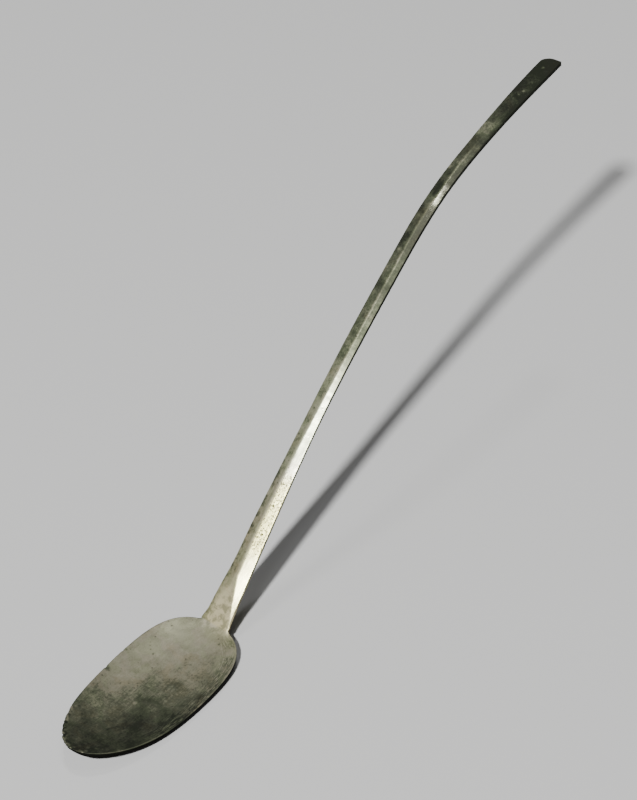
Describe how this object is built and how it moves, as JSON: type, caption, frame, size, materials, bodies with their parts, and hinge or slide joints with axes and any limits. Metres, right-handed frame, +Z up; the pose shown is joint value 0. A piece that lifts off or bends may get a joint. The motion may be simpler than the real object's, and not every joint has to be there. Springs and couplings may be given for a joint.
{
  "type": "long-handled spoon",
  "caption": "Long-handled bronze spoon: shallow oblong bowl with a flat underside and a slim ridged handle that rises from the heel and bends back near its end.",
  "frame": {"origin": "on the flat underside of the bowl, below the middle of its length", "axes": "+X from the bowl towards the handle, +Y across the bowl, +Z up from the surface the bowl stands on"},
  "size_m": [0.2518, 0.032, 0.1111],
  "materials": {
    "bowl_bronze": "worn olive-grey patina",
    "handle_bronze": "dark olive patina with worn, shinier facets",
    "braze": "dull hard solder"
  },
  "bodies": {
    "root": {"bowl": "bowl_bronze", "braze_seam": "braze", "handle": "handle_bronze"}
  },
  "joints": []
}
